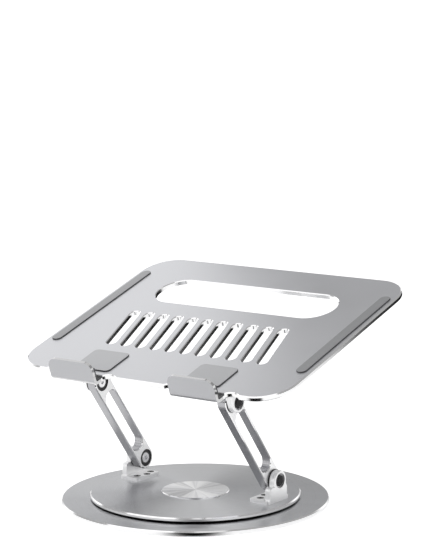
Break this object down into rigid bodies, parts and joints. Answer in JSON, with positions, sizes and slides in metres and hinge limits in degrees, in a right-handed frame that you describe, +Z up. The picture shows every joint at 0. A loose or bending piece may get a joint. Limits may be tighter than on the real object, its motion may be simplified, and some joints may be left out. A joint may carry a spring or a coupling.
{
  "type": "laptop stand",
  "caption": "Aluminium laptop stand with a swivelling round base, two folding slotted arms and a vented tray that tilts and has front hooks and grip pads.",
  "frame": {"origin": "centre of the base's underside, on the table", "axes": "+X to the user's right, along the tray's front edge; +Y away from the user; +Z up"},
  "size_m": [0.24, 0.2154, 0.1598],
  "materials": {
    "base_disc": "satin anodised with polished bevels",
    "base_grip_pad": "matte silicone",
    "bearing_lower_race": "plated",
    "spindle": "plated",
    "circlip": "plated",
    "bearing_balls": "plated",
    "bearing_cage": "moulded",
    "turntable_disc": "satin anodised with polished bevels",
    "bearing_upper_race": "plated",
    "thrust_washer": "moulded",
    "centre_cap": "spun",
    "left_base_bracket": "satin anodised with polished bevels",
    "right_base_bracket": "satin anodised with polished bevels",
    "base_bracket_screws": "plated",
    "lower_bolts": "plated",
    "lower_friction_washers": "moulded",
    "lower_spring_washers": "plated",
    "lower_nuts": "plated",
    "left_arm": "satin anodised with polished bevels",
    "left_arm_collars": "moulded",
    "right_arm": "satin anodised with polished bevels",
    "right_arm_collars": "moulded",
    "left_upper_bolt": "plated",
    "left_upper_friction_washer": "moulded",
    "left_upper_spring_washer": "plated",
    "left_upper_nut": "plated",
    "right_upper_bolt": "plated",
    "right_upper_friction_washer": "moulded",
    "right_upper_spring_washer": "plated",
    "right_upper_nut": "plated",
    "tray_plate": "satin anodised with polished bevels",
    "left_tray_bracket": "satin anodised with polished bevels",
    "right_tray_bracket": "satin anodised with polished bevels",
    "tray_bracket_screws": "plated",
    "left_front_pad": "matte silicone",
    "right_front_pad": "matte silicone",
    "left_hook_pad": "matte silicone",
    "right_hook_pad": "matte silicone",
    "left_side_pad": "matte silicone",
    "right_side_pad": "matte silicone"
  },
  "bodies": {
    "base": {"base_disc": "base_disc", "base_grip_pad": "base_grip_pad", "bearing_lower_race": "bearing_lower_race", "spindle": "spindle", "circlip": "circlip"},
    "ball_ring": {"bearing_balls": "bearing_balls", "bearing_cage": "bearing_cage"},
    "turntable": {"turntable_disc": "turntable_disc", "bearing_upper_race": "bearing_upper_race", "thrust_washer": "thrust_washer", "centre_cap": "centre_cap", "left_base_bracket": "left_base_bracket", "right_base_bracket": "right_base_bracket", "base_bracket_screws": "base_bracket_screws", "lower_bolts": "lower_bolts", "lower_friction_washers": "lower_friction_washers", "lower_spring_washers": "lower_spring_washers", "lower_nuts": "lower_nuts"},
    "left_link": {"left_arm": "left_arm", "left_arm_collars": "left_arm_collars"},
    "right_link": {"right_arm": "right_arm", "right_arm_collars": "right_arm_collars"},
    "upper_pivot": {"left_upper_bolt": "left_upper_bolt", "left_upper_friction_washer": "left_upper_friction_washer", "left_upper_spring_washer": "left_upper_spring_washer", "left_upper_nut": "left_upper_nut", "right_upper_bolt": "right_upper_bolt", "right_upper_friction_washer": "right_upper_friction_washer", "right_upper_spring_washer": "right_upper_spring_washer", "right_upper_nut": "right_upper_nut"},
    "tray": {"tray_plate": "tray_plate", "left_tray_bracket": "left_tray_bracket", "right_tray_bracket": "right_tray_bracket", "tray_bracket_screws": "tray_bracket_screws", "left_front_pad": "left_front_pad", "right_front_pad": "right_front_pad", "left_hook_pad": "left_hook_pad", "right_hook_pad": "right_hook_pad", "left_side_pad": "left_side_pad", "right_side_pad": "right_side_pad"}
  },
  "joints": [
    {"name": "swivel", "type": "hinge", "parent": "base", "child": "turntable", "pos_m": [0, 0, 0], "axis": [0, 0, 1], "continuous": true},
    {"name": "ball_ring_roll", "type": "hinge", "parent": "base", "child": "ball_ring", "pos_m": [0, 0, 0], "axis": [0, 0, 1], "continuous": true},
    {"name": "arm_lift", "type": "hinge", "parent": "turntable", "child": "left_link", "pos_m": [-0.0596, 0.0115, 0.023], "axis": [1, 0, 0], "range_deg": [-37, 52]},
    {"name": "right_arm_lift", "type": "hinge", "parent": "turntable", "child": "right_link", "pos_m": [0.0596, 0.0115, 0.023], "axis": [1, 0, 0], "range_deg": [-37, 52]},
    {"name": "upper_pivot_follow", "type": "hinge", "parent": "left_link", "child": "upper_pivot", "pos_m": [-0.0596, -0.03949, 0.09049], "axis": [1, 0, 0], "range_deg": [-52, 37]},
    {"name": "tray_tilt", "type": "hinge", "parent": "upper_pivot", "child": "tray", "pos_m": [-0.0596, -0.03949, 0.09049], "axis": [1, 0, 0], "range_deg": [-17.7, 30]}
  ],
  "couplings": [
    {"joint": "ball_ring_roll", "follows": "swivel", "ratio": 0.5},
    {"joint": "right_arm_lift", "follows": "arm_lift", "ratio": 1},
    {"joint": "upper_pivot_follow", "follows": "arm_lift", "ratio": -1}
  ]
}
